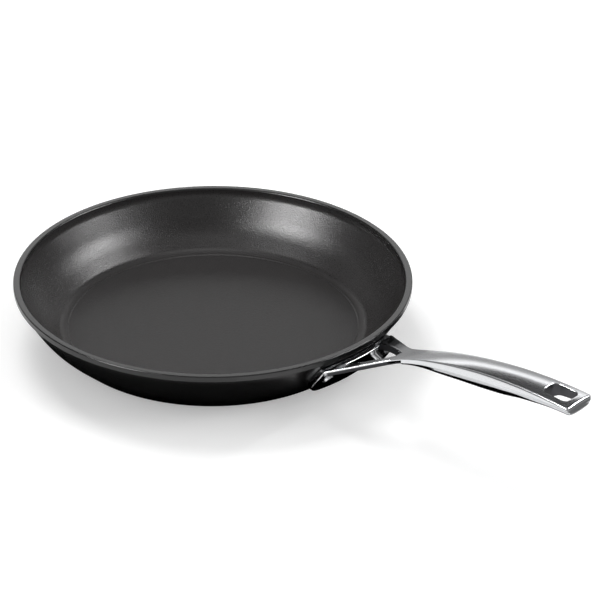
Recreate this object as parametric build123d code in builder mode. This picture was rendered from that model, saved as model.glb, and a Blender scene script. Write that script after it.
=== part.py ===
"""Omelette pan with a forked cast handle.

The origin is the centre of the pan's underside, where it rests. +Z is up and the handle
runs along +X. All sizes are in millimetres. A reach is a distance outward from the rim's
edge. An inset is a distance inward from an edge: the rim's, or for the disc the edge of the
pan's underside, or for the hang hole the handle's tip.
"""
from build123d import *
import math
import os

os.makedirs("parts", exist_ok=True)

# Pan: overall sizes
rim_radius = 145.0
pan_height = 45.0
wall_thickness = 3.3
floor_height = 4.7
overrun = 20.0

# Pan: outer wall, two straight flares with a wide round between them
wall_head_inset = 2.7
wall_head_height = 37.6
wall_bend_inset = 15.5
wall_bend_height = 17.2
wall_round_radius = 61.8
wall_foot_slope = 41.8

# Pan: rim and corners
rim_band_height = 4.1
rim_band_step = 0.6
rim_top_width = 5.2
rim_bevel = 0.7
rim_inner_lip = 2.4
floor_corner_bevel = 3.5
base_corner_bevel = 4.5

# Induction base
disc_inset = 12.2
disc_thickness = 2.0
disc_proud = 0.8
disc_gap = 0.15
disc_edge_bevel = 0.5

# Bracket: the curved flange that hugs the wall
bracket_gap = 0.15
bracket_thickness = 4.3
bracket_top_height = 36.8
bracket_foot_height = 13.0
bracket_lip_depth = 12.0
bracket_top_half_width = 34.3
bracket_foot_half_width = 37.5
bracket_corner_radius = 9.0

# Fork: two arms that rise from the bracket to the throat
throat_reach = 45.0
throat_height = 55.6
throat_half_width = 9.3
arm_thickness = 5.6
arm_edge_bevel = 0.7
arm_root_inset = 5.0
arm_root_drop = 0.9
arm_root_half_width = 37.4
arm_bend_reach = 29.0
arm_bend_half_width = 15.1

# Opening between the arms
opening_apex_reach = 33.8
opening_apex_half_width = 3.0
opening_apex_round = 1.2
opening_middle_half_width = 12.6
arm_root_width = 15.8

# Where the opening's middle lies from the arms' root to its apex, as a share of that run
opening_middle_share = 0.62

# Grip
tip_reach = 190.5
grip_arch_radius = 338.0
grip_half_width = 12.9
grip_depth = 15.2
grip_side_height = 5.8
grip_crown = 1.6
grip_edge_bevel = 0.9
grip_crease = 1.0
grip_end_bevel = 1.4

# The belly's flat keel: its half width as a share of the grip's
keel_share = 0.45

# Hang hole
hang_hole_length = 19.0
hang_hole_width = 13.6
hang_hole_corner = 4.2
hang_hole_inset = 16.0
hang_hole_bevel = 0.8

# Rivets
rivet_height = 27.3
rivet_spread_angle = 10.4
rivet_radius = 2.6
rivet_gap = 0.1
rivet_head_radius = 3.9
rivet_head_height = 2.1
rivet_head_top_radius = 2.7
rivet_inner_head_radius = 5.5
rivet_inner_head_height = 1.5
rivet_seat_gap = 0.2
rivet_seat_depth = 0.6
spot_face_margin = 0.5

# Stations of the grip: place along it, then half width, depth, side height, crown and crease,
# each as a share of the grip's own size of that name
grip_station_shares = (
    (0.000, 0.725, 0.400, 0.60, 0.05, 0.2),
    (0.085, 0.690, 0.530, 0.68, 0.30, 0.2),
    (0.205, 0.745, 0.740, 0.78, 0.70, 0.2),
    (0.340, 0.800, 0.910, 0.92, 0.95, 0.3),
    (0.465, 0.830, 1.000, 1.00, 1.00, 0.3),
    (0.590, 0.880, 0.985, 0.96, 0.95, 0.4),
    (0.720, 0.925, 0.850, 0.78, 0.80, 0.6),
    (0.850, 0.965, 0.690, 0.58, 0.60, 0.8),
    (0.950, 0.995, 0.570, 0.42, 0.45, 1.0),
    (1.000, 1.000, 0.525, 0.35, 0.40, 1.0),
)

# The arms' ramp, from just under the bracket's top up to the throat
arm_root_height = bracket_top_height - arm_root_drop
ramp_angle = math.atan2(throat_height - arm_root_height, throat_reach + arm_root_inset)

# The wall's two flares, as directions that climb outward
wall_head = Vector(rim_radius - wall_head_inset, wall_head_height)
wall_bend = Vector(rim_radius - wall_bend_inset, wall_bend_height)
head_flare = (wall_head - wall_bend).normalized()
foot_flare = Vector(1, 0).rotate(Axis.Z, wall_foot_slope)
head_normal = Vector(head_flare.Y, -head_flare.X)
foot_normal = Vector(foot_flare.Y, -foot_flare.X)


def wall_outline(shift, foot_height):
    """Head, bend and foot of the wall's line, moved outward by shift, down to a height."""
    middle = (head_normal + foot_normal).normalized()
    bend = wall_bend + middle * (shift / middle.dot(head_normal))
    foot = bend + foot_flare * ((foot_height - bend.Y) / foot_flare.Y)
    return wall_head + head_normal * shift, bend, foot


def flare_point(shift, height):
    """The point at a height on the upper flare's straight line, moved outward by shift."""
    start = wall_head + head_normal * shift
    return start + head_flare * ((height - start.Y) / head_flare.Y)


def arch_height(reach):
    """Height of the grip's upper edges: an arc that leaves the arms' ramp without a kink."""
    lean = math.sin(ramp_angle) - (reach - throat_reach) / grip_arch_radius
    return throat_height + grip_arch_radius * (math.sqrt(1 - lean**2) - math.cos(ramp_angle))


def rivet_plane(side):
    """A plane on the pan's outer wall whose normal is a rivet's axis."""
    spot = flare_point(0, rivet_height)
    turn = math.radians(rivet_spread_angle * side)
    outward = Vector(math.cos(turn), math.sin(turn), 0)
    across = Vector(-math.sin(turn), math.cos(turn), 0)
    up = Vector(0, 0, 1)
    axis = outward * head_normal.X + up * head_normal.Y
    return Plane(outward * spot.X + up * spot.Y, x_dir=across, z_dir=axis)


rivet_planes = [rivet_plane(side) for side in (-1, 1)]
rivet_seat = bracket_gap + bracket_thickness - rivet_seat_depth

# Pan body: one turned wall with a flat rim and a recess for the induction base
outer_head, outer_bend, outer_corner = wall_outline(0, disc_proud)
inner_head, inner_bend, inner_corner = wall_outline(-wall_thickness, floor_height)
rim_inner_radius = rim_radius - rim_top_width
band_foot = pan_height - rim_band_height
disc_radius = outer_corner.X - disc_inset
recess_radius = disc_radius + disc_gap

with BuildPart() as pan_body:
    with BuildSketch(Plane.XZ) as profile:
        with BuildLine():
            Polyline(
                (rim_inner_radius, pan_height),
                (rim_radius, pan_height),
                (rim_radius, band_foot),
                (rim_radius - 2 * rim_band_step, band_foot - rim_band_step),
                outer_head,
                outer_bend,
                outer_corner,
                (recess_radius, disc_proud),
                (recess_radius, disc_thickness),
                (0, disc_thickness),
                (0, floor_height),
                inner_corner,
                inner_bend,
                inner_head,
                (rim_inner_radius, pan_height - rim_inner_lip),
                close=True,
            )
        make_face()
        for corner, radius in (
            (outer_bend, wall_round_radius),
            (inner_bend, wall_round_radius - wall_thickness),
        ):
            fillet(profile.vertices().sort_by_distance(corner)[0], radius)
        for corner, bevel in (
            (outer_corner, base_corner_bevel),
            (inner_corner, floor_corner_bevel),
            ((rim_radius, pan_height), rim_bevel),
        ):
            chamfer(profile.vertices().sort_by_distance(corner)[0], bevel)
    revolve(axis=Axis.Z)
    for plane in rivet_planes:
        with BuildSketch(plane):
            Circle(rivet_radius + rivet_gap)
        extrude(amount=overrun, both=True, mode=Mode.SUBTRACT)

# Induction base: a steel disc in the recess, a little proud of the body
with BuildPart() as induction_base:
    with BuildSketch(Plane.XY):
        Circle(disc_radius)
    extrude(amount=disc_thickness)
    chamfer(induction_base.edges().group_by(Axis.Z)[0], disc_edge_bevel)

# Bracket blank: a thick turned flange, trimmed to its front outline
with BuildPart() as bracket:
    with BuildSketch(Plane.XZ):
        face_top = flare_point(bracket_gap + bracket_thickness, bracket_top_height)
        face_foot = flare_point(bracket_gap + bracket_thickness, bracket_foot_height)
        inward = head_normal * -bracket_lip_depth
        with BuildLine():
            Polyline(
                face_top,
                face_foot,
                face_foot + inward,
                Vector(face_foot.X + inward.X, bracket_top_height),
                close=True,
            )
        make_face()
    revolve(axis=Axis.Z)
    with BuildSketch(Plane.YZ):
        with BuildLine():
            Polyline(
                (-bracket_top_half_width, bracket_top_height + overrun),
                (-bracket_top_half_width, bracket_top_height),
                (-bracket_foot_half_width, bracket_foot_height),
                (bracket_foot_half_width, bracket_foot_height),
                (bracket_top_half_width, bracket_top_height),
                (bracket_top_half_width, bracket_top_height + overrun),
                close=True,
            )
        outline = make_face()
        fillet(outline.vertices().group_by(Axis.Y)[0], bracket_corner_radius)
    extrude(amount=rim_radius + overrun, mode=Mode.INTERSECT)

# Fork blank: the plan of the two arms, cut to the ramp seen from the side
arm_root = rim_radius - arm_root_inset
arm_bend = rim_radius + arm_bend_reach
throat = rim_radius + throat_reach
apex = rim_radius + opening_apex_reach
arm_spread = (arm_root_half_width - arm_bend_half_width) / (arm_bend - arm_root)
arm_pull = arm_bend + (arm_bend_half_width - throat_half_width) / arm_spread
opening_middle = arm_root + (apex - arm_root) * opening_middle_share
opening_root_half_width = arm_root_half_width - arm_root_width

with BuildPart() as fork:
    with BuildSketch(Plane.XY):
        with BuildLine():
            for hand in (1, -1):
                Line((arm_root, hand * arm_root_half_width), (arm_bend, hand * arm_bend_half_width))
                Bezier(
                    (arm_bend, hand * arm_bend_half_width),
                    (arm_pull, hand * throat_half_width),
                    (throat, hand * throat_half_width),
                )
            Line((throat, -throat_half_width), (throat, throat_half_width))
            Line((arm_root, -arm_root_half_width), (arm_root, arm_root_half_width))
        make_face()
    extrude(amount=throat_height + overrun)
    with BuildSketch(Plane.XY):
        with BuildLine():
            for hand in (1, -1):
                ThreePointArc(
                    (apex, hand * opening_apex_half_width),
                    (opening_middle, hand * opening_middle_half_width),
                    (arm_root, hand * opening_root_half_width),
                )
            Line((apex, -opening_apex_half_width), (apex, opening_apex_half_width))
            Line((arm_root, -opening_root_half_width), (arm_root, opening_root_half_width))
        window = make_face()
        fillet(window.vertices().group_by(Axis.X)[-1], opening_apex_round)
    extrude(amount=throat_height + overrun, mode=Mode.SUBTRACT)
    with BuildSketch(Plane.XZ):
        with BuildLine():
            Polyline(
                (arm_root, arm_root_height),
                (throat, throat_height),
                (throat, throat_height - arm_thickness),
                (arm_root, arm_root_height - arm_thickness),
                close=True,
            )
        make_face()
    extrude(amount=arm_root_half_width + overrun, both=True, mode=Mode.INTERSECT)
    top_edges = fork.faces().sort_by(Axis.Z)[-1].edges()
    square_ends = top_edges.filter_by(Axis.Y).sort_by(Axis.X)
    chamfer(top_edges - square_ends[:2] - square_ends[-1:], arm_edge_bevel)


grip_sizes = (grip_half_width, grip_depth, grip_side_height, grip_crown, grip_crease)


def across_the_grip(reach, height):
    """The upright plane of one grip section, with its origin level with the upper edges."""
    return Plane((rim_radius + reach, 0, height), x_dir=(0, 1, 0), z_dir=(1, 0, 0))


def grip_section(half_width, depth, side, crown, crease):
    """Outline of the grip across its length: crowned top, upright sides, a crease and a belly."""
    flat = half_width - grip_edge_bevel
    belly = half_width - crease
    seam = -side - crease
    keel = half_width * keel_share
    ThreePointArc((-flat, 0), (0, crown), (flat, 0))
    Line((-keel, -depth), (keel, -depth))
    for hand in (1, -1):
        Polyline(
            (hand * flat, 0),
            (hand * half_width, -grip_edge_bevel),
            (hand * half_width, -side),
            (hand * belly, seam),
            (hand * keel, -depth),
        )


# Handle: one casting of grip, fork and bracket, with its rivet holes and hang hole
nose_reach = tip_reach - grip_end_bevel
hang_hole_reach = tip_reach - hang_hole_inset
tip_width, tip_depth, tip_side, tip_crown, tip_crease = (
    share * size for share, size in zip(grip_station_shares[-1][1:], grip_sizes)
)

with BuildPart() as handle:
    for place, *shares in grip_station_shares:
        reach = throat_reach + place * (nose_reach - throat_reach)
        with BuildSketch(across_the_grip(reach, arch_height(reach))):
            with BuildLine():
                grip_section(*(share * size for share, size in zip(shares, grip_sizes)))
            make_face()
    loft()
    with BuildSketch(across_the_grip(nose_reach, arch_height(nose_reach))):
        with BuildLine():
            grip_section(tip_width, tip_depth, tip_side, tip_crown, tip_crease)
        make_face()
    with BuildSketch(across_the_grip(tip_reach, arch_height(tip_reach) - grip_end_bevel)):
        with BuildLine():
            grip_section(
                tip_width - grip_end_bevel,
                tip_depth - 2 * grip_end_bevel,
                tip_side - grip_end_bevel / 2,
                tip_crown,
                tip_crease,
            )
        make_face()
    loft(ruled=True)
    with BuildSketch(Plane.XY.offset(pan_height)):
        with Locations((rim_radius + hang_hole_reach, 0)):
            RectangleRounded(hang_hole_length, hang_hole_width, hang_hole_corner)
    extrude(amount=throat_height + overrun, mode=Mode.SUBTRACT)
    cut_edges = handle.edges(Select.LAST)
    upper = arch_height(hang_hole_reach) - grip_edge_bevel
    chamfer(cut_edges.filter_by(lambda edge: edge.center().Z > upper), hang_hole_bevel)
    add(fork.part)
    add(bracket.part)
    with BuildSketch(Plane.XZ) as clearance:
        clear_head, clear_bend, clear_foot = wall_outline(bracket_gap, 0)
        with BuildLine():
            Polyline(
                clear_head,
                clear_bend,
                clear_foot,
                (0, 0),
                (0, band_foot),
                (rim_radius + bracket_gap, band_foot),
                close=True,
            )
        make_face()
        round_corner = clearance.vertices().sort_by_distance(clear_bend)[0]
        fillet(round_corner, wall_round_radius + bracket_gap)
    revolve(axis=Axis.Z, mode=Mode.SUBTRACT)
    for plane in rivet_planes:
        with BuildSketch(plane):
            Circle(rivet_radius + rivet_gap)
        extrude(amount=overrun, both=True, mode=Mode.SUBTRACT)
        with BuildSketch(plane.offset(rivet_seat)):
            Circle(rivet_head_radius + spot_face_margin)
        extrude(amount=overrun, mode=Mode.SUBTRACT)

# Rivets: a low outer head, a shank through bracket and wall, and a broad head inside
with BuildPart() as rivets:
    inner_seat = -(wall_thickness + rivet_seat_gap)
    for plane in rivet_planes:
        with BuildSketch(Plane(plane.origin, x_dir=plane.x_dir, z_dir=-plane.y_dir)):
            with BuildLine():
                Polyline(
                    (0, rivet_seat + rivet_head_height),
                    (rivet_head_top_radius, rivet_seat + rivet_head_height),
                    (rivet_head_radius, rivet_seat),
                    (rivet_radius, rivet_seat),
                    (rivet_radius, inner_seat),
                    (rivet_inner_head_radius, inner_seat),
                    (rivet_radius, inner_seat - rivet_inner_head_height),
                    (0, inner_seat - rivet_inner_head_height),
                    close=True,
                )
            make_face()
        revolve(axis=Axis(plane.origin, plane.z_dir))

pieces = {
    "pan_body": pan_body,
    "induction_base": induction_base,
    "handle": handle,
    "rivets": rivets,
}
for name, piece in pieces.items():
    piece.part.label = name
    export_step(piece.part, f"parts/{name}.step")
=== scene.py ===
# The looks of an omelette pan with a forked cast handle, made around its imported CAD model
import math

import bmesh
import bpy
import numpy as np
from mathutils import Matrix, Vector


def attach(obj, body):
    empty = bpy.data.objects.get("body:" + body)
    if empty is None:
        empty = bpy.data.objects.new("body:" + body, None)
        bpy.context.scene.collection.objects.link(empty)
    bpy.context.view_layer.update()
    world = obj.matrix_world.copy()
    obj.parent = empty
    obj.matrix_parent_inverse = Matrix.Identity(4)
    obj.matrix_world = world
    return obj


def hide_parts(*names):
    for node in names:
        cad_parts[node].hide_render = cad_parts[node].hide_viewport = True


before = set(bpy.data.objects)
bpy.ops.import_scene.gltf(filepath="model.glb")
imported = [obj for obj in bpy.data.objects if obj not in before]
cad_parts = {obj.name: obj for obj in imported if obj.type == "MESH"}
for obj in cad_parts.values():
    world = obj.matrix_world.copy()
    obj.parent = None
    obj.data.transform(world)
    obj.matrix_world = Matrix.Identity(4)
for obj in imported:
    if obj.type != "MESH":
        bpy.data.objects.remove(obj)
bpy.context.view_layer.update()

# Shape functions work in millimetres, and meshes are in metres
MM = 0.001

# Camera: the photograph's own place, lens and slight roll, in metres, degrees and millimetres
camera_place = (1.25588, -1.26527, 1.01819)
camera_heading = 42.75
camera_dip = 29.13
camera_roll = 0.636
camera_reach = 20
lens_length = 167.38
sensor_width = 36.0

# Pan, in millimetres. The outside of its wall leans from the head by the rim to the bend, and
# flatter from there to the foot
rim_radius = 145.0
pan_height = 45.0
wall_thickness = 3.3
floor_height = 4.7
floor_ring_radius = 106.0
floor_ring_width = 0.9
floor_ring_step = 0.5
wall_head = (142.3, 37.6)
wall_bend = (129.5, 17.2)
wall_foot_slope = math.radians(41.8)
rim_band_height = 4.1
rim_band_step = 0.6
rim_top_width = 5.2
rim_inner_lip = 2.4
underside_height = 0.8
recess_radius = 99.11
recess_height = 2.0

# Rounds of the pan's profile, from the recess up the outside, over the rim and down the inside
recess_corner_round = 0.2
recess_mouth_round = 0.3
wall_foot_round = 6.0
wall_round = 61.8
wall_head_round = 3.0
band_step_round = 0.4
band_foot_round = 0.5
rim_outer_round = 0.7
rim_inner_round = 1.3
rim_lip_round = 0.4
inner_head_round = 9.0
inner_foot_round = 9.0
floor_ring_round = 0.15

# Induction base, in millimetres: the disc stops just short of the recess it is pressed into
disc_radius = 98.95
disc_clearance = 0.02
disc_top_round = 0.1
disc_foot_round = 0.45

# Handle, in millimetres from the pan's axis
fork_root = 140.0
root_round = 3.0
throat = 190.0
tip = 335.5
root_height = 35.9
throat_height = 55.6
arch_radius = 338.0
ramp = math.atan2(throat_height - root_height, throat - fork_root)
end_round = 2.0

# Handle sections: place along it, half width, depth, side height, crown, crease, edge round and
# the belly's fullness
handle_sections = np.array((
    (140.0, 37.40, 5.60, 4.40, 0.00, 0.05, 0.50, 2.1),
    (148.5, 31.82, 5.60, 4.40, 0.00, 0.05, 0.50, 2.1),
    (157.0, 26.25, 5.60, 4.40, 0.00, 0.05, 0.50, 2.1),
    (165.5, 20.68, 5.60, 4.40, 0.00, 0.05, 0.50, 2.1),
    (171.0, 17.07, 5.60, 4.35, 0.00, 0.05, 0.50, 2.1),
    (174.0, 15.15, 5.60, 4.25, 0.00, 0.05, 0.50, 2.1),
    (178.0, 12.75, 5.60, 3.95, 0.00, 0.05, 0.50, 2.1),
    (182.4, 10.80, 5.65, 3.60, 0.02, 0.05, 0.50, 2.1),
    (186.0, 9.90, 5.80, 3.30, 0.04, 0.05, 0.50, 2.0),
    (190.0, 9.35, 6.25, 3.10, 0.08, 0.05, 0.50, 1.9),
    (202.2, 8.90, 8.90, 3.40, 0.48, 0.05, 0.70, 1.7),
    (219.5, 9.61, 13.20, 4.10, 1.12, 0.05, 1.30, 1.6),
    (239.0, 10.32, 16.10, 4.90, 1.52, 0.05, 2.00, 1.6),
    (257.0, 10.71, 17.70, 5.40, 1.60, 0.05, 2.40, 1.6),
    (275.0, 11.35, 17.55, 5.57, 1.60, 0.15, 2.60, 1.6),
    (293.8, 11.93, 14.20, 4.70, 1.50, 0.60, 2.50, 1.9),
    (312.5, 12.45, 9.90, 3.60, 1.20, 0.90, 2.10, 2.8),
    (326.9, 12.84, 7.95, 2.80, 0.90, 1.00, 1.70, 2.8),
    (335.5, 12.90, 7.80, 2.40, 0.80, 1.00, 1.40, 2.4),
))

# The arms' sides are set in below a lip and lean inward, as far as the throat. The lip's
# height and its step are shares of the side below the edge round
lip_share = 0.17
lip_step_share = 0.04
set_in = 0.5
lean_in = 1.7
set_in_end = 189.6
set_in_ramp = 0.35

# Runs of sections along the handle, as start, end and how many: the root's round, the arms, the
# end of their set-in sides, the neck behind the throat, and the grip up to the tip's round
section_runs = (
    (fork_root, fork_root + root_round, 7),
    (fork_root + root_round + 0.8, set_in_end - 1, 64),
    (set_in_end - set_in_ramp, set_in_end, 3),
    (set_in_end + 0.6, throat + 20, 28),
    (throat + 22, tip - end_round, 72),
)

# Points along the stretches of a handle section, and round a rounded edge
crest_points = 15
side_points = 6
crease_points = 4
belly_points = 16
edge_points = 7

# Opening between the arms, and the hang hole, in millimetres
opening_apex = 178.8
opening_apex_half_width = 3.0
opening_apex_round = 1.4
opening_middle = (164.06, 12.6)
opening_root_half_width = 21.6
opening_edge_round = 0.7
opening_side_points = 48
opening_spacing = 0.6
hang_hole_place = 319.5
hang_hole_half_length = 10.0
hang_hole_half_width = 7.3
hang_hole_corner = 4.2
hang_hole_edge_round = 0.9
hang_hole_underside_flare = 1.5
hang_hole_spacing = 0.5

# Cutters for the two: how far they reach below and above the handle's top, between which
# depths one flares towards the underside, the straight run under the edge round, and how much
# wider than the edge round the head is
cutter_depth = 40
cutter_rise = 20
cutter_flare_foot = 8
cutter_flare_head = 4
cutter_straight_run = 0.3
cutter_head_spread = 0.02

# Bracket, in millimetres: how far it lies off the pan's wall, its size and its rounds
bracket_gap = 0.15
bracket_thickness = 4.3
bracket_top_height = 36.8
bracket_foot_height = 13.0
bracket_top_half_width = 34.3
bracket_foot_half_width = 37.5
bracket_top_round = 0.8
bracket_corner_round = 9.0
bracket_edge_round = 0.8
bracket_spacing = 1.0

# Rings over a face of the bracket, as shares of the way from its middle to its edge round
bracket_face_shares = np.linspace(0.06, 1, 14)[:-1]

# Rivets, in millimetres, with each head as (radius, height over its seat, corner round)
rivet_height = 27.3
rivet_spread = math.radians(10.4)
rivet_radius = 2.6
rivet_hole_radius = 2.7
rivet_hole_reach = 12
rivet_inner_gap = 0.2
outer_rivet_head = ((0, 2.1, 0), (2.9, 2.05, 0.8), (3.9, 0.6, 0.5), (3.9, 0, 0.1))
inner_rivet_head = ((5.5, 0, 0.15), (4.6, 0.9, 1.2), (2.2, 1.5, 2.0), (0, 1.5, 0))
spot_face_depth = 0.6
spot_face_radius = 4.4
spot_face_corner = 0.1
spot_face_round = 0.35
spot_cutter_border = 3
spot_cutter_height = 6

# Columns round a turned piece
pan_columns = 288
disc_columns = 256
rivet_columns = 64
hole_columns = 48

# Patterns of the finishes, in millimetres. The real pebble is about half as coarse, and the
# real turning marks are finer still, and neither would show
pebble_size = 0.85
turning_mark_spacing = 3.0
faced_mark_spacing = 0.8

# Where a piece's second finish starts: margins in millimetres and a share of the arms' set-in
coating_margin = 0.1
hole_margin = 1.5
root_margin = 4
lip_margin = 0.8
side_margin = 0.1
set_in_share = 0.9

# Height of a normal, which is one on a level face, above which a face of the pan counts as
# level and below which a face of the handle counts as upright
level_facing = 0.3
upright_facing = 0.45

# Studio, in metres, with the way from the pan to the middle of its backdrop, and how many
# points a round card has
floor_half_width = 8
floor_level = -0.0006
card_level = -0.0003
drum_radius = 6.0
drum_height = 3.9
drum_foot = -0.1
drum_floor_start = 0.45
ceiling_start = 0.01
backdrop_way = (-0.7071, 0.7071, 0)
round_points = 96

# How much the floor is lifted to white where it is seen, and how bright the room is as a light
floor_lift = 0.35
room_light = 0.55


def unit(vector):
    """The vector divided by its length."""
    return vector / np.linalg.norm(vector)


def rounded_line(corners, steps=8, guard=0.25):
    """A line through (x, y, radius) corners. A corner with a radius is an arc of it, tangent to
    both runs: its middle lies radius / sin(half angle) from the corner, and its points are the
    weighted means of its two ends that stay on the circle. A guard point on each run beside the
    arc keeps the flat next to it shading flat."""
    rows = np.array(corners, float)
    line = [rows[:1, :2]]
    for before, corner, after in zip(rows, rows[1:], rows[2:]):
        place, radius = corner[:2], corner[2]
        back = unit(before[:2] - place)
        ahead = unit(after[:2] - place)
        if radius == 0:
            line.append(np.array((place + back * guard, place, place + ahead * guard)))
            continue
        half = 0.5 * np.arccos(np.clip(back @ ahead, -1, 1))
        reach = radius / np.tan(half)
        middle = place + unit(back + ahead) * radius / np.sin(half)
        turn = np.pi - 2 * half
        share = np.linspace(0, 1, steps + 1)[:, None]
        start = place + back * reach - middle
        end = place + ahead * reach - middle
        arc = (np.sin((1 - share) * turn) * start + np.sin(share * turn) * end) / np.sin(turn)
        line.append(place + back * (reach + guard))
        line.append(middle + arc)
        line.append(place + ahead * (reach + guard))
    line.append(rows[-1:, :2])
    return np.vstack(line)


def skin(name, rings, first_pole, last_pole):
    """A closed mesh from rings of points in millimetres, an array of (rows, columns, 3). Each
    ring joins the next, its end joins its start, and a fan closes it at each pole."""
    rows, columns = rings.shape[:2]
    points = np.vstack((rings.reshape(-1, 3), first_pole, last_pole)) * MM
    here = np.arange(columns)
    beside = np.roll(here, -1)
    starts = np.arange(rows - 1)[:, None] * columns
    nexts = starts + columns
    quads = np.stack((starts + here, starts + beside, nexts + beside, nexts + here), -1)
    last_ring = (rows - 1) * columns
    first_fan = np.stack((np.full(columns, rows * columns), beside, here), -1)
    last_fan = np.stack((np.full(columns, rows * columns + 1), last_ring + here, last_ring + beside), -1)
    faces = quads.reshape(-1, 4).tolist() + first_fan.tolist() + last_fan.tolist()
    mesh = bpy.data.meshes.new(name)
    mesh.from_pydata(points.tolist(), [], faces)
    solid = bmesh.new()
    solid.from_mesh(mesh)
    bmesh.ops.recalc_face_normals(solid, faces=solid.faces)
    solid.to_mesh(mesh)
    solid.free()
    piece = bpy.data.objects.new(name, mesh)
    bpy.context.scene.collection.objects.link(piece)
    return piece


def turned(name, profile, columns, place=Matrix.Identity(4)):
    """A profile of (radius, height) rows from axis to axis, turned about its axis: the point at
    an angle is (radius cos, radius sin, height). The matrix puts it in place."""
    angle = np.linspace(0, 2 * np.pi, columns, endpoint=False)
    radius, height = profile[1:-1, :1], profile[1:-1, 1:]
    rings = np.stack(np.broadcast_arrays(radius * np.cos(angle), radius * np.sin(angle), height), -1)
    turn = np.array(place.to_3x3())
    shift = np.array(place.translation)
    ends = (np.array((0, 0, profile[end, 1])) for end in (0, -1))
    first_pole, last_pole = (turn @ end + shift for end in ends)
    return skin(name, rings @ turn.T + shift, first_pole, last_pole)


def smooth_between(place, knots, values):
    """A cubic through the knots whose slope at each is the mean slope of its neighbours."""
    slopes = np.gradient(values, knots)
    index = np.clip(np.searchsorted(knots, place) - 1, 0, len(knots) - 2)
    gap = knots[index + 1] - knots[index]
    share = (place - knots[index]) / gap
    start, end = values[index], values[index + 1]
    rise = slopes[index] * gap
    fall = slopes[index + 1] * gap
    turn = share * (1 - share)
    steady = share * share * (3 - 2 * share)
    return start + (end - start) * steady + turn * (rise * (1 - share) - fall * share)


def handle_size(place, column):
    """A size of the handle's section at a place along it, from the table of sections."""
    return smooth_between(place, handle_sections[:, 0], handle_sections[:, column])


def upper_edge(place):
    """Height of the handle's upper edges: a straight ramp to the throat, then an arc whose
    height is the root of radius squared less the run squared."""
    lean = np.sin(ramp) - (place - throat) / arch_radius
    arc = throat_height + arch_radius * (np.sqrt(1 - lean**2) - np.cos(ramp))
    line = throat_height + (place - throat) * np.tan(ramp)
    return np.where(place < throat, line, arc)


def handle_top(place, across):
    """Height of the handle's top: its upper edge plus a crown that falls off as the square of
    the distance from the middle line."""
    share = np.clip(across / handle_size(place, 1), -1, 1)
    return upper_edge(place) + handle_size(place, 4) * (1 - share**2)


def handle_section(place, shrink=0.0):
    """Outlines of the handle across its length, one row for each place: a crowned top, rounded
    upper edges, upright sides that are set in below a lip along the arms, a small step in at
    the crease, and a belly whose two shares of width and depth, each raised to the fullness,
    add up to one. A shrink draws the outline in, for the tip's round."""
    place = np.atleast_1d(place)[:, None]
    half_width, depth, side, crown, crease, edge, fullness = (
        handle_size(place, column) for column in range(1, 8))
    plan_corner = np.clip((fork_root + root_round - place) / root_round, 0, 1)
    half_width = half_width - root_round * (1 - np.sqrt(1 - plan_corner**2))
    recessed = np.clip((set_in_end - place) / set_in_ramp, 0, 1)
    half_width = half_width - shrink
    depth = depth - 2 * shrink
    side = side - shrink / 2
    top = upper_edge(place) - shrink
    lean = np.arctan(2 * crown / half_width)
    flat = half_width - edge * (1 - np.sin(lean))
    edge_middle = -edge * np.cos(lean)
    sweep = lean + (np.pi / 2 - lean) * np.linspace(0, 1, edge_points)
    crest = np.linspace(0, 1, crest_points)[:-1]
    # The lip's face has two points, and the step in under it two more
    lip = np.array((0.5, 1.0, 1.0, 1.0))
    lip_step = np.array((0.0, 0.0, 0.5, 1.0))
    drop = np.linspace(0, 1, side_points)[1:]
    fold = np.linspace(0, 1, crease_points)[1:]
    swing = np.linspace(0, np.pi / 2, belly_points)[1:]
    power = 2 / fullness
    recess = set_in * recessed
    foot_width = half_width - recess - lean_in * recessed
    belly_width = foot_width - crease
    upright = side + edge_middle
    lip_foot = edge_middle - lip_share * upright
    face_head = lip_foot - lip_step_share * upright
    seam = -side - crease
    across = np.hstack((
        flat * crest,
        half_width - edge + edge * np.sin(sweep),
        half_width - recess * lip_step,
        half_width - recess + (foot_width - half_width + recess) * drop,
        foot_width - crease * fold,
        belly_width * np.cos(swing) ** power,
    ))
    height = np.hstack((
        crown * (1 - crest**2),
        edge_middle + edge * np.cos(sweep),
        edge_middle + (lip_foot - edge_middle) * lip + (face_head - lip_foot) * lip_step,
        face_head + (-side - face_head) * drop,
        -side - crease * fold,
        seam - (depth + seam) * np.sin(swing) ** power,
    ))
    across = np.hstack((across, -across[:, -2:0:-1]))
    height = np.hstack((height, height[:, -2:0:-1]))
    return np.stack((place + 0 * across, across, top + height), -1)


def outward(outline):
    """Unit normals of a closed outline that runs anticlockwise, from its neighbours' chord."""
    chord = np.roll(outline, -1, axis=0) - np.roll(outline, 1, axis=0)
    chord = chord / np.linalg.norm(chord, axis=1)[:, None]
    return np.stack((chord[:, 1], -chord[:, 0]), -1)


def flared_cutter(name, outline, edge_round, underside_flare=0.0):
    """A cutter whose plan is the outline. Level with the handle's top it flares by a quarter
    circle, so that it leaves a rounded upper edge: width out is round (1 - cos), and depth
    below the top is round (1 - sin). Lower down it can flare again towards the underside."""
    sweep = np.linspace(0, np.pi / 2, edge_points)
    spread = np.concatenate((
        [underside_flare, underside_flare, 0, 0],
        edge_round * (1 - np.cos(sweep)),
        [edge_round + cutter_head_spread],
    ))
    level = np.concatenate((
        [-cutter_depth, -cutter_flare_foot, -cutter_flare_head, -edge_round - cutter_straight_run],
        -edge_round * (1 - np.sin(sweep)),
        [cutter_rise],
    ))
    plan = outline[None] + outward(outline)[None] * spread[:, None, None]
    height = handle_top(plan[..., 0], plan[..., 1]) + level[:, None]
    rings = np.concatenate((plan, height[..., None]), -1)
    middle = outline.mean(axis=0)
    return skin(name, rings, (*middle, rings[0, :, 2].min()), (*middle, rings[-1, :, 2].max()))


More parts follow.
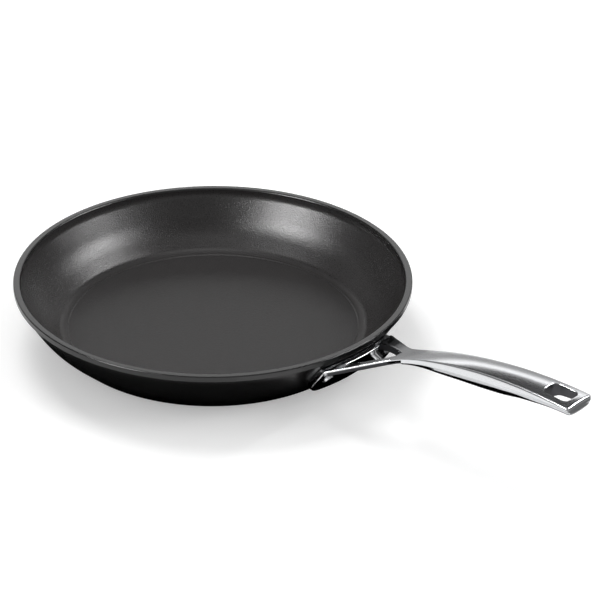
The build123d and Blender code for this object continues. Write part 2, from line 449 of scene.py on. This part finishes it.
def even_steps(line, spacing):
    """The same closed or open line with points at even steps along it."""
    run = np.concatenate(([0], np.cumsum(np.linalg.norm(np.diff(line, axis=0), axis=1))))
    steps = np.linspace(0, run[-1], int(run[-1] / spacing) + 1)
    return np.stack((np.interp(steps, run, line[:, 0]), np.interp(steps, run, line[:, 1])), -1)


def opening_outline():
    """Plan of the opening: on each side an arc through root, middle and apex, worked out as the
    circle through three points. It runs three steps past the root and stops four points short
    of the round apex that joins the two sides."""
    root = (fork_root, opening_root_half_width)
    apex = (opening_apex, opening_apex_half_width)
    (ax, ay), (bx, by), (cx, cy) = root, opening_middle, apex
    double_area = 2 * (ax * (by - cy) + bx * (cy - ay) + cx * (ay - by))
    a_square, b_square, c_square = ax**2 + ay**2, bx**2 + by**2, cx**2 + cy**2
    x = (a_square * (by - cy) + b_square * (cy - ay) + c_square * (ay - by)) / double_area
    y = (a_square * (cx - bx) + b_square * (ax - cx) + c_square * (bx - ax)) / double_area
    radius = math.hypot(ax - x, ay - y)
    start = math.atan2(ay - y, ax - x)
    end = math.atan2(cy - y, cx - x)
    angle = np.linspace(start, end, opening_side_points)
    side = np.stack((x + radius * np.cos(angle), y + radius * np.sin(angle)), -1)
    side = np.vstack((side[0] + (side[0] - side[1]) * 3, side[:-4]))
    nose = rounded_line((
        (*side[-1], 0),
        (*apex, opening_apex_round),
        (apex[0], -apex[1], opening_apex_round),
        (side[-1][0], -side[-1][1], 0),
    ), guard=0.0)[1:-1]
    outline = np.vstack((side, nose, side[::-1] * (1, -1)))
    return even_steps(np.vstack((outline, outline[:1])), opening_spacing)[:-1][::-1]


def hang_hole_outline():
    """Plan of the hang hole, a rectangle with round corners."""
    x, y = hang_hole_half_length, hang_hole_half_width
    start = (x, 0, 0)
    line = rounded_line((
        start,
        (x, y, hang_hole_corner),
        (-x, y, hang_hole_corner),
        (-x, -y, hang_hole_corner),
        (x, -y, hang_hole_corner),
        start,
    ), steps=16, guard=0.0)
    return even_steps(line, hang_hole_spacing)[:-1] + (hang_hole_place, 0)


def boolean(piece, other, operation):
    """Joins or cuts a piece with another closed piece, and removes the other."""
    step = piece.modifiers.new(operation.lower(), "BOOLEAN")
    step.operation = operation
    step.object = other
    step.solver = "EXACT"
    graph = bpy.context.evaluated_depsgraph_get()
    result = bpy.data.meshes.new_from_object(piece.evaluated_get(graph))
    piece.modifiers.clear()
    piece.data = result
    bpy.data.objects.remove(other)


def finish(piece, node, materials, sharp_angle=35):
    """Shades a piece smooth between sharp edges, gives its materials, hangs it on the root body, and hides
    the CAD node that it stands for."""
    piece.data.shade_smooth()
    piece.data.set_sharp_from_angle(angle=math.radians(sharp_angle))
    for material in materials:
        piece.data.materials.append(material)
    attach(piece, "root")
    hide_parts(node)


def linear(hex_colour):
    """An sRGB hex colour as linear red, green, blue and alpha."""
    parts = np.array([int(hex_colour[i:i + 2], 16) / 255 for i in (1, 3, 5)])
    line = np.where(parts <= 0.04045, parts / 12.92, ((parts + 0.055) / 1.055) ** 2.4)
    return (*line.tolist(), 1.0)


def add_node(tree, kind, settings=(), links=(), **properties):
    """Adds a node to a tree. Properties are its own, settings are (socket, value) pairs, and
    links are (socket, output socket of another node) pairs."""
    node = tree.nodes.new(kind)
    for name, value in properties.items():
        setattr(node, name, value)
    for socket, value in settings:
        node.inputs[socket].default_value = value
    for socket, source in links:
        tree.links.new(source, node.inputs[socket])
    return node


def new_material(name, settings):
    """A material with its surface shader set, and the shader node to link patterns to."""
    material = bpy.data.materials.new(name)
    material.use_nodes = True
    shader = material.node_tree.nodes["Principled BSDF"]
    for socket, value in settings:
        shader.inputs[socket].default_value = value
    return material, material.node_tree, shader


def from_axis(tree, place):
    """How far a point lies from the pan's axis, in metres."""
    level_place = add_node(tree, "ShaderNodeVectorMath", ((1, (1, 1, 0)),),
                           ((0, place.outputs["Object"]),), operation="MULTIPLY")
    distance = add_node(tree, "ShaderNodeVectorMath", (), ((0, level_place.outputs["Vector"]),),
                        operation="LENGTH")
    return distance.outputs["Value"]


def fine_grain(tree, shader, place, size, detail, strength, depth):
    """Roughens a surface with grains of a size and a depth in millimetres."""
    grain = add_node(tree, "ShaderNodeTexNoise", (("Scale", 1 / (size * MM)), ("Detail", detail)),
                     (("Vector", place.outputs["Object"]),))
    bump = add_node(tree, "ShaderNodeBump", (("Strength", strength), ("Distance", depth * MM)),
                    (("Height", grain.outputs["Fac"]),))
    tree.links.new(bump.outputs["Normal"], shader.inputs["Normal"])


# Camera
heading, dip, roll = (math.radians(angle) for angle in (camera_heading, camera_dip, camera_roll))
ahead = Vector((-math.sin(heading) * math.cos(dip), math.cos(heading) * math.cos(dip), -math.sin(dip)))
level_right = Vector((math.cos(heading), math.sin(heading), 0))
level_up = level_right.cross(ahead)
right = level_right * math.cos(roll) + level_up * math.sin(roll)
up = level_up * math.cos(roll) - level_right * math.sin(roll)
camera = bpy.data.objects.new("camera", bpy.data.cameras.new("camera"))
camera.data.sensor_width = sensor_width
camera.data.lens = lens_length
camera.data.clip_end = camera_reach
camera.matrix_world = Matrix((right, up, -ahead)).transposed().to_4x4()
camera.location = camera_place
bpy.context.scene.collection.objects.link(camera)
bpy.context.scene.camera = camera

# Pan body: the wall's two flares with a wide round between them, and a flat rim
flare = unit(np.subtract(wall_head, wall_bend))
foot_flare = np.array((math.cos(wall_foot_slope), math.sin(wall_foot_slope)))
flare_normal = np.array((flare[1], -flare[0]))
foot_normal = np.array((foot_flare[1], -foot_flare[0]))


def wall_corners(shift, foot_height):
    """Head, bend and foot of the wall's line moved outward by shift, the foot at a height."""
    middle = unit(flare_normal + foot_normal)
    bend = wall_bend + middle * (shift / (middle @ flare_normal))
    foot = bend + foot_flare * ((foot_height - bend[1]) / foot_flare[1])
    return wall_head + flare_normal * shift, bend, foot


outer_head, outer_bend, outer_foot = wall_corners(0, underside_height)
inner_head, inner_bend, inner_foot = wall_corners(-wall_thickness, floor_height + floor_ring_step)
rim_inner_radius = rim_radius - rim_top_width
band_foot = pan_height - rim_band_height

outer_corners = (
    (*outer_foot, wall_foot_round),
    (*outer_bend, wall_round),
    (*outer_head, wall_head_round),
    (rim_radius - 2 * rim_band_step, band_foot - rim_band_step, band_step_round),
    (rim_radius, band_foot, band_foot_round),
    (rim_radius, pan_height, rim_outer_round),
)
outer_wall = rounded_line((
    (recess_radius, underside_height, 0),
    *outer_corners,
    (rim_inner_radius, pan_height, 0),
), steps=10)
pan_profile = rounded_line((
    (0, recess_height, 0),
    (recess_radius, recess_height, recess_corner_round),
    (recess_radius, underside_height, recess_mouth_round),
    *outer_corners,
    (rim_inner_radius, pan_height, rim_inner_round),
    (rim_inner_radius, pan_height - rim_inner_lip, rim_lip_round),
    (*inner_head, inner_head_round),
    (*inner_bend, wall_round - wall_thickness),
    (*inner_foot, inner_foot_round),
    (floor_ring_radius + floor_ring_width, floor_height + floor_ring_step, floor_ring_round),
    (floor_ring_radius, floor_height, floor_ring_round),
    (0, floor_height, 0),
), steps=10)
pan_body = turned("pan_shell", pan_profile, pan_columns)

# Induction base: a steel disc pressed into the underside
disc_top = recess_height - disc_clearance
disc_profile = rounded_line((
    (0, disc_top, 0),
    (disc_radius, disc_top, disc_top_round),
    (disc_radius, 0, disc_foot_round),
    (0, 0, 0),
), steps=6)
disc = turned("base_disc", disc_profile, disc_columns)

# Handle: grip and arms as one skin, then the opening and the hang hole are cut. The last place
# of the runs is left out, because the tip's round starts with it
section_places = np.concatenate([np.linspace(*run) for run in section_runs])[:-1]
end_sweep = np.linspace(0, np.pi / 2, edge_points)
nose_rings = [
    handle_section(tip - end_round, shrink) + (advance, 0, 0)
    for shrink, advance in zip(end_round * (1 - np.cos(end_sweep)), end_round * np.sin(end_sweep))
]
rings = np.vstack([handle_section(section_places)] + nose_rings)
handle = skin("handle_casting", rings, rings[0].mean(axis=0), rings[-1].mean(axis=0))
opening_cutter = flared_cutter("opening_cutter", opening_outline(), opening_edge_round)
boolean(handle, opening_cutter, "DIFFERENCE")
hang_hole_cutter = flared_cutter("hang_hole_cutter", hang_hole_outline(), hang_hole_edge_round,
                                 hang_hole_underside_flare)
boolean(handle, hang_hole_cutter, "DIFFERENCE")


# Bracket: a plate bent round the pan's wall, with rounded edges, joined to the roots of the arms
def bracket_point(across, height, depth_share):
    """A point of the bracket. Its inner face, share 0, lies a gap off the pan's wall, and its
    outer face, share 1, is a cone. Its top is level, and its foot is square to the wall."""
    foot_share = np.clip((bracket_top_height - height) / (bracket_top_height - bracket_foot_height), 0, 1)
    level = height + foot_share * (1 - depth_share) * bracket_thickness * -flare_normal[1]
    wall = np.interp(level, outer_wall[:, 1], outer_wall[:, 0]) + bracket_gap / flare_normal[0]
    cone_shift = (bracket_gap + bracket_thickness) / flare_normal[0]
    cone = wall_head[0] + (level - wall_head[1]) * flare[0] / flare[1] + cone_shift
    radius = wall + (cone - wall) * depth_share
    return np.stack((np.sqrt(radius**2 - across**2), across, level), -1)


bracket_outline = even_steps(rounded_line((
    (0, bracket_top_height, 0),
    (-bracket_top_half_width, bracket_top_height, bracket_top_round),
    (-bracket_foot_half_width, bracket_foot_height, bracket_corner_round),
    (bracket_foot_half_width, bracket_foot_height, bracket_corner_round),
    (bracket_top_half_width, bracket_top_height, bracket_top_round),
    (0, bracket_top_height, 0),
), steps=12, guard=0.0), bracket_spacing)[:-1]
inward_step = -outward(bracket_outline)
bracket_middle = np.array((0, (bracket_top_height + bracket_foot_height) / 2))
face_outline = bracket_outline + inward_step * bracket_edge_round
face_plans = [bracket_middle + (face_outline - bracket_middle) * share for share in bracket_face_shares]

# Round the plate's edge, rows of (inset, share of the depth): a quarter circle from the outer
# face to the edge, and another from the edge to the inner face
edge_sweep = np.linspace(0, np.pi / 2, edge_points)
edge_rise, edge_fall = 1 - np.sin(edge_sweep), 1 - np.cos(edge_sweep)
edge_share = bracket_edge_round / bracket_thickness
edge_rows = np.concatenate((
    np.stack((bracket_edge_round * edge_rise, 1 - edge_share * edge_fall), -1),
    np.stack((bracket_edge_round * edge_fall, edge_share * edge_rise), -1),
))
edge_plans = [bracket_outline + inward_step * inset for inset in edge_rows[:, 0]]
bracket_rings = [bracket_point(*plan.T, 1.0) for plan in face_plans]
bracket_rings += [bracket_point(*plan.T, share) for plan, share in zip(edge_plans, edge_rows[:, 1])]
bracket_rings += [bracket_point(*plan.T, 0.0) for plan in face_plans[::-1]]
bracket_ends = [bracket_point(*bracket_middle, share) for share in (1.0, 0.0)]
bracket = skin("bracket", np.array(bracket_rings), *bracket_ends)
boolean(handle, bracket, "UNION")


# Rivets: an outer head on a spot face of the bracket, a shank, and a domed head inside the pan
def rivet_frame(side):
    """Where a rivet sits: its axis is square to the wall, at the rivets' height and angle."""
    turn = rivet_spread * side
    outward_way = Vector((math.cos(turn), math.sin(turn), 0))
    across = Vector((-math.sin(turn), math.cos(turn), 0))
    axis = outward_way * flare_normal[0] + Vector((0, 0, flare_normal[1]))
    radius = wall_head[0] + (rivet_height - wall_head[1]) * flare[0] / flare[1]
    place = Matrix((across, axis.cross(across), axis)).transposed().to_4x4()
    place.translation = outward_way * radius + Vector((0, 0, rivet_height))
    return place


face_level = bracket_gap + bracket_thickness
outer_seat = face_level - spot_face_depth
inner_seat = -(wall_thickness + rivet_inner_gap)
spot_profile = rounded_line((
    (0, outer_seat, 0),
    (spot_face_radius, outer_seat, spot_face_corner),
    (spot_face_radius, face_level, spot_face_round),
    (spot_face_radius + spot_cutter_border, face_level, 0),
    (spot_face_radius + spot_cutter_border, face_level + spot_cutter_height, 0),
    (0, face_level + spot_cutter_height, 0),
), guard=0.0)
hole_profile = np.array((
    (0, -rivet_hole_reach),
    (rivet_hole_radius, -rivet_hole_reach),
    (rivet_hole_radius, rivet_hole_reach),
    (0, rivet_hole_reach),
))
rivet_profile = rounded_line((
    *((radius, outer_seat + height, corner) for radius, height, corner in outer_rivet_head),
    (rivet_radius, outer_seat, 0),
    (rivet_radius, inner_seat, 0),
    *((radius, inner_seat - height, corner) for radius, height, corner in inner_rivet_head),
), guard=0.0)
rivets = []
for name, side in (("rivet_right", -1), ("rivet_left", 1)):
    place = rivet_frame(side)
    boolean(handle, turned("spot_cutter", spot_profile, hole_columns, place), "DIFFERENCE")
    for piece, cutter_name in ((handle, "rivet_hole_cutter"), (pan_body, "wall_hole_cutter")):
        boolean(piece, turned(cutter_name, hole_profile, hole_columns, place), "DIFFERENCE")
    rivets.append(turned(name, rivet_profile, rivet_columns, place))

# Non-stick coating: PTFE sprayed on and baked, near black, with a faint pebble that breaks up
# highlights into specks and a soft sheen at low angles, duller on the flat where it lies rougher
coating, tree, shader = new_material("sprayed_ptfe_coating", (
    ("Base Color", linear("#2B2929")),
    ("Roughness", 0.36),
))
place = add_node(tree, "ShaderNodeTexCoord")
pebble = add_node(tree, "ShaderNodeTexNoise", (("Scale", 1 / (pebble_size * MM)), ("Detail", 2.0)),
                  (("Vector", place.outputs["Object"]),))
turning_marks = add_node(tree, "ShaderNodeTexNoise",
                         (("Scale", 1 / (turning_mark_spacing * MM)), ("Detail", 2.0)),
                         (("W", from_axis(tree, place)),), noise_dimensions="1D")
pebble_bump = add_node(tree, "ShaderNodeBump", (("Strength", 1.0), ("Distance", 0.17 * MM)),
                       (("Height", pebble.outputs["Fac"]),))
bump = add_node(tree, "ShaderNodeBump", (("Strength", 0.25), ("Distance", 0.03 * MM)),
                (("Height", turning_marks.outputs["Fac"]), ("Normal", pebble_bump.outputs["Normal"])))
tree.links.new(bump.outputs["Normal"], shader.inputs["Normal"])
sheen = add_node(tree, "ShaderNodeMapRange", (("To Min", 0.22), ("To Max", 0.36)),
                 (("Value", pebble.outputs["Fac"]),))
facing = add_node(tree, "ShaderNodeSeparateXYZ", (), (("Vector", place.outputs["Normal"]),))
level_dulling = add_node(tree, "ShaderNodeMapRange",
                         (("From Min", 0.88), ("From Max", 0.99), ("To Min", 0.0), ("To Max", 0.22)),
                         (("Value", facing.outputs["Z"]),))
dulled = add_node(tree, "ShaderNodeMath", (),
                  ((0, sheen.outputs["Result"]), (1, level_dulling.outputs["Result"])), operation="ADD")
tree.links.new(dulled.outputs[0], shader.inputs["Roughness"])

# Hard-anodised aluminium, sealed and polished: black, with a clear soft gloss
anodised, tree, shader = new_material("hard_anodised_aluminium", (
    ("Base Color", linear("#131313")),
    ("Roughness", 0.24),
))
place = add_node(tree, "ShaderNodeTexCoord")
fine_grain(tree, shader, place, size=0.5, detail=2.0, strength=0.15, depth=0.01)

# Cast stainless steel: satin on the grip's top, polished on its sides and on the arms
cast_steel, tree, shader = new_material("cast_stainless_steel", (
    ("Base Color", linear("#C6C7C9")),
    ("Metallic", 1.0),
    ("Roughness", 0.18),
))
place = add_node(tree, "ShaderNodeTexCoord")
facing = add_node(tree, "ShaderNodeSeparateXYZ", (), (("Vector", place.outputs["Normal"]),))
along = add_node(tree, "ShaderNodeSeparateXYZ", (), (("Vector", place.outputs["Object"]),))
top_finish = add_node(tree, "ShaderNodeMapRange",
                      (("From Min", 180 * MM), ("From Max", 205 * MM), ("To Min", 0.09), ("To Max", 0.22)),
                      (("Value", along.outputs["X"]),))
satin = add_node(tree, "ShaderNodeMapRange",
                 (("From Min", 0.3), ("From Max", 0.8), ("To Min", 0.10)),
                 (("Value", facing.outputs["Z"]), ("To Max", top_finish.outputs["Result"])))
tree.links.new(satin.outputs["Result"], shader.inputs["Roughness"])
fine_grain(tree, shader, place, size=0.4, detail=2.0, strength=0.1, depth=0.01)

# The same casting where no wheel reaches: rough and unpolished in the recesses and cut walls, and a darker
# grey there that is painted shade
shaded_cast_steel, tree, shader = new_material("unpolished_steel_painted_shade", (
    ("Base Color", linear("#505052")),
    ("Metallic", 1.0),
    ("Roughness", 0.45),
))
place = add_node(tree, "ShaderNodeTexCoord")
fine_grain(tree, shader, place, size=0.6, detail=3.0, strength=0.4, depth=0.04)

# Stainless steel faced on a lathe: fine rings that spread its highlights into a fan
turned_steel, tree, shader = new_material("turned_stainless_steel", (
    ("Base Color", linear("#BFC0C2")),
    ("Metallic", 1.0),
    ("Roughness", 0.28),
))
place = add_node(tree, "ShaderNodeTexCoord")
faced_marks = add_node(tree, "ShaderNodeTexNoise",
                       (("Scale", 1 / (faced_mark_spacing * MM)), ("Detail", 3.0)),
                       (("W", from_axis(tree, place)),), noise_dimensions="1D")
bump = add_node(tree, "ShaderNodeBump", (("Strength", 0.5), ("Distance", 0.03 * MM)),
                (("Height", faced_marks.outputs["Fac"]),))
tree.links.new(bump.outputs["Normal"], shader.inputs["Normal"])

# Polished stainless steel of the rivets: nearly a mirror
polished_steel = new_material("polished_stainless_steel", (
    ("Base Color", linear("#CDCED0")),
    ("Metallic", 1.0),
    ("Roughness", 0.08),
))[0]

finish(pan_body, "pan_body", (coating, anodised))
finish(disc, "induction_base", (turned_steel,))
finish(handle, "handle", (cast_steel, shaded_cast_steel))
for rivet in rivets:
    finish(rivet, "rivets", (polished_steel,))


def face_places(piece):
    """Each face's middle in millimetres, and its normal."""
    rows = []
    for name, scale in (("center", 1 / MM), ("normal", 1)):
        values = np.empty(len(piece.data.polygons) * 3)
        piece.data.polygons.foreach_get(name, values)
        rows.append(values.reshape(-1, 3) * scale)
    return rows


def second_material(piece, where):
    """Gives a piece's second material to the faces where the array is true."""
    piece.data.polygons.foreach_set("material_index", where.astype(np.int32))


# The coating covers the inside, and the anodised aluminium shows from the rim's top outward
middle, normal = face_places(pan_body)
inward_facing = (normal[:, :2] * middle[:, :2]).sum(axis=1) < 0
above_floor = middle[:, 2] > floor_height - coating_margin
inside = above_floor & (inward_facing | (normal[:, 2] > level_facing))
within_rim = np.hypot(middle[:, 0], middle[:, 1]) < rim_inner_radius
second_material(pan_body, ~(inside & within_rim))

# The hang hole's walls, the opening's walls and the arms' recesses are left as cast, and take the darker
# steel that paints the shade in them
middle, normal = face_places(handle)
along, across, height = middle.T
upright = np.abs(normal[:, 2]) < upright_facing
in_hole = (
    (np.abs(along - hang_hole_place) < hang_hole_half_length + hole_margin)
    & (np.abs(across) < hang_hole_half_width + hole_margin)
    & (handle_top(along, across) - height > hang_hole_edge_round)
)
half_width = handle_size(along, 1)
outer_face = np.abs(across) > half_width - set_in - lean_in - side_margin
recessed_side = outer_face & (np.abs(across) < half_width - set_in_share * set_in)
below_lip = upper_edge(along) - height > lip_margin
on_arms = (along > fork_root + root_margin) & (along < set_in_end)
shaded_as_cast = in_hole | (on_arms & below_lip & (recessed_side | ~outer_face))
second_material(handle, upright & shaded_as_cast)


# Floor and surroundings: white to the eye and in reflections, softer as a light
def seen_directly(tree):
    """One where a camera, glossy or transmission ray looks, and zero for the light itself."""
    path = add_node(tree, "ShaderNodeLightPath")
    seen = path.outputs["Is Camera Ray"]
    for kind in ("Is Glossy Ray", "Is Transmission Ray"):
        both = add_node(tree, "ShaderNodeMath", (), ((0, seen), (1, path.outputs[kind])),
                        operation="ADD", use_clamp=True)
        seen = both.outputs[0]
    return seen


def stage_mesh(name, points, faces, material):
    """A piece of the studio, in metres, which is no part of the pan."""
    mesh = bpy.data.meshes.new(name)
    mesh.from_pydata(points, [], faces)
    mesh.materials.append(material)
    piece = bpy.data.objects.new(name, mesh)
    bpy.context.scene.collection.objects.link(piece)
    return piece


floor_material, tree, shader = new_material("matt_white_floor", (
    ("Base Color", linear("#E8E8E8")),
    ("Roughness", 0.9),
    ("Emission Color", (1, 1, 1, 1)),
))
lift = add_node(tree, "ShaderNodeMath", ((1, floor_lift),), ((0, seen_directly(tree)),),
                operation="MULTIPLY")
tree.links.new(lift.outputs[0], shader.inputs["Emission Strength"])
floor_corners = [(x * floor_half_width, y * floor_half_width, floor_level)
                 for x, y in ((-1, -1), (1, -1), (1, 1), (-1, 1))]
stage_mesh("floor", floor_corners, [(0, 1, 2, 3)], floor_material)

world = bpy.data.worlds.new("white_room")
bpy.context.scene.world = world
world.use_nodes = True
tree = world.node_tree
strength = add_node(tree, "ShaderNodeMapRange", (("To Min", room_light), ("To Max", 1.0)),
                    (("Value", seen_directly(tree)),))
tree.links.new(strength.outputs["Result"], tree.nodes["Background"].inputs["Strength"])
tree.nodes["Background"].inputs["Color"].default_value = (1, 1, 1, 1)


# Cards on the floor that the steel and the pan's outside reflect
def card_finish(name, strength):
    """A finish that is seen at one even brightness, whatever light falls on it."""
    return new_material(name, (
        ("Base Color", (0, 0, 0, 1)),
        ("Specular IOR Level", 0.0),
        ("Emission Color", (1, 1, 1, 1)),
        ("Emission Strength", strength),
    ))


def reflected_card(name, points, faces, material):
    """A studio card left to reflections: it is out of view and neither lights nor shades."""
    piece = stage_mesh(name, points, faces, material)
    for way in ("camera", "diffuse", "transmission", "volume_scatter", "shadow"):
        setattr(piece, f"visible_{way}", False)


def circle(centre, radius, height):
    """Points of a level circle: the one at an angle is centre plus radius cos, radius sin."""
    angle = np.linspace(0, 2 * np.pi, round_points, endpoint=False)
    return np.stack((centre[0] + radius * np.cos(angle), centre[1] + radius * np.sin(angle),
                     np.full(round_points, height)), -1)


def round_card(name, centre, radius, material):
    """A round card that lies on the floor."""
    points = circle(centre, radius, card_level).tolist()
    reflected_card(name, points, [tuple(range(round_points))], material)


def floor_card(name, corners, material):
    """A card with straight edges that lies on the floor."""
    points = [(*corner, card_level) for corner in corners]
    reflected_card(name, points, [tuple(range(len(points)))], material)


painted_shade_card = card_finish("painted_shade_card", 0.0)[0]
white_card = card_finish("white_card", 1.4)[0]
grey_card = card_finish("grey_card", 0.2)[0]
# The black cards are painted shade: seen only in reflections, they darken the floor under the pan, under the
# fork and behind the handle, where it lies in shade
round_card("card_under_pan", (0, 0), 0.150, painted_shade_card)
round_card("card_under_fork", (0.152, -0.010), 0.032, painted_shade_card)
floor_card("card_behind_handle", ((0.12, 0.002), (0.20, -0.006), (0.25, -0.022), (0.34, -0.022),
                                  (0.34, 0.14), (0.12, 0.14)), painted_shade_card)
floor_card("card_beside_handle", ((0.13, -0.125), (0.24, -0.14), (0.24, -0.045), (0.13, -0.035)), white_card)
floor_card("card_past_tip", ((0.37, 0.04), (0.52, 0.04), (0.52, 0.17), (0.37, 0.17)), grey_card)


# A drum round the set: a wall that is bright high up behind the pan and a little lit low down
# before it, a ceiling lit at its middle, and a grey outer floor
def drum_part(name, inner, outer, material):
    """A ring of card between two circles about the pan's axis, each a radius and a height."""
    edges = np.vstack([circle((0, 0), radius, level) for radius, level in (inner, outer)])
    here = np.arange(round_points)
    beside = np.roll(here, -1)
    faces = np.stack((here, beside, round_points + beside, round_points + here), -1)
    reflected_card(name, edges.tolist(), faces.tolist(), material)


# The wall's glow rises with its height and is full only in a window behind the pan. Before the
# pan a second, weaker glow fades as the wall rises
wall_finish, tree, shader = card_finish("lit_drum", 1.0)
place = add_node(tree, "ShaderNodeTexCoord")
up_wall = add_node(tree, "ShaderNodeSeparateXYZ", (), (("Vector", place.outputs["Object"]),))
glow = add_node(tree, "ShaderNodeMapRange",
                (("From Min", 1.7), ("From Max", 3.6), ("To Min", 0.47), ("To Max", 2.5)),
                (("Value", up_wall.outputs["Z"]),), interpolation_type="SMOOTHSTEP")
backdrop_share = tuple(part / drum_radius for part in backdrop_way)
behind_pan = add_node(tree, "ShaderNodeVectorMath", ((1, backdrop_share),),
                      ((0, place.outputs["Object"]),), operation="DOT_PRODUCT")
window = add_node(tree, "ShaderNodeMapRange",
                  (("From Min", 0.82), ("From Max", 0.97), ("To Min", 0.28), ("To Max", 1.0)),
                  (("Value", behind_pan.outputs["Value"]),), interpolation_type="SMOOTHSTEP")
window_glow = add_node(tree, "ShaderNodeMath", (),
                       ((0, glow.outputs["Result"]), (1, window.outputs["Result"])), operation="MULTIPLY")
before_pan = add_node(tree, "ShaderNodeMapRange",
                      (("From Min", -0.2), ("From Max", -0.7), ("To Min", 0.0), ("To Max", 1.0)),
                      (("Value", behind_pan.outputs["Value"]),))
low_down = add_node(tree, "ShaderNodeMapRange",
                    (("From Min", 1.2), ("From Max", 2.2), ("To Min", 0.5), ("To Max", 0.0)),
                    (("Value", up_wall.outputs["Z"]),))
drum_glow = add_node(tree, "ShaderNodeMath", (), (
    (0, before_pan.outputs["Result"]), (1, low_down.outputs["Result"]), (2, window_glow.outputs[0])),
    operation="MULTIPLY_ADD")
tree.links.new(drum_glow.outputs[0], shader.inputs["Emission Strength"])

ceiling_finish, tree, shader = card_finish("lit_ceiling", 1.0)
place = add_node(tree, "ShaderNodeTexCoord")
fade = add_node(tree, "ShaderNodeMapRange",
                (("From Min", 1.0), ("From Max", 1.9), ("To Min", 1.3), ("To Max", 0.05)),
                (("Value", from_axis(tree, place)),), interpolation_type="SMOOTHSTEP")
tree.links.new(fade.outputs["Result"], shader.inputs["Emission Strength"])

outer_floor_finish = card_finish("outer_floor", 0.4)[0]
drum_part("drum_wall", (drum_radius, drum_foot), (drum_radius, drum_height), wall_finish)
drum_part("drum_ceiling", (ceiling_start, drum_height), (drum_radius, drum_height), ceiling_finish)
drum_part("drum_floor", (drum_floor_start, card_level), (drum_radius, card_level), outer_floor_finish)


# Lamps, with their place and size in metres and their power in watts
def area_light(name, place, size, energy, reflected):
    """A soft lamp that faces the pan, for light alone or for reflections alone."""
    lamp = bpy.data.objects.new(name, bpy.data.lights.new(name, "AREA"))
    lamp.data.shape = "RECTANGLE"
    lamp.data.size, lamp.data.size_y = size
    lamp.data.energy = energy
    lamp.matrix_world = (-Vector(place)).to_track_quat("-Z", "Y").to_matrix().to_4x4()
    lamp.location = place
    lamp.visible_camera = False
    lamp.visible_diffuse = not reflected
    lamp.visible_glossy = reflected
    bpy.context.scene.collection.objects.link(lamp)


area_light("key_softbox", (-1.2, 0.4, 1.8), (1.0, 1.0), 22, reflected=False)
area_light("side_softbox", (1.6, 0.8, 1.2), (0.8, 0.8), 10, reflected=False)
area_light("right_glow", (0.972, 1.006, 1.133), (0.9, 0.4), 27, reflected=True)
area_light("left_glow", (-0.310, -1.343, 1.157), (0.7, 0.45), 37, reflected=True)

bpy.context.scene.view_settings.view_transform = "Standard"
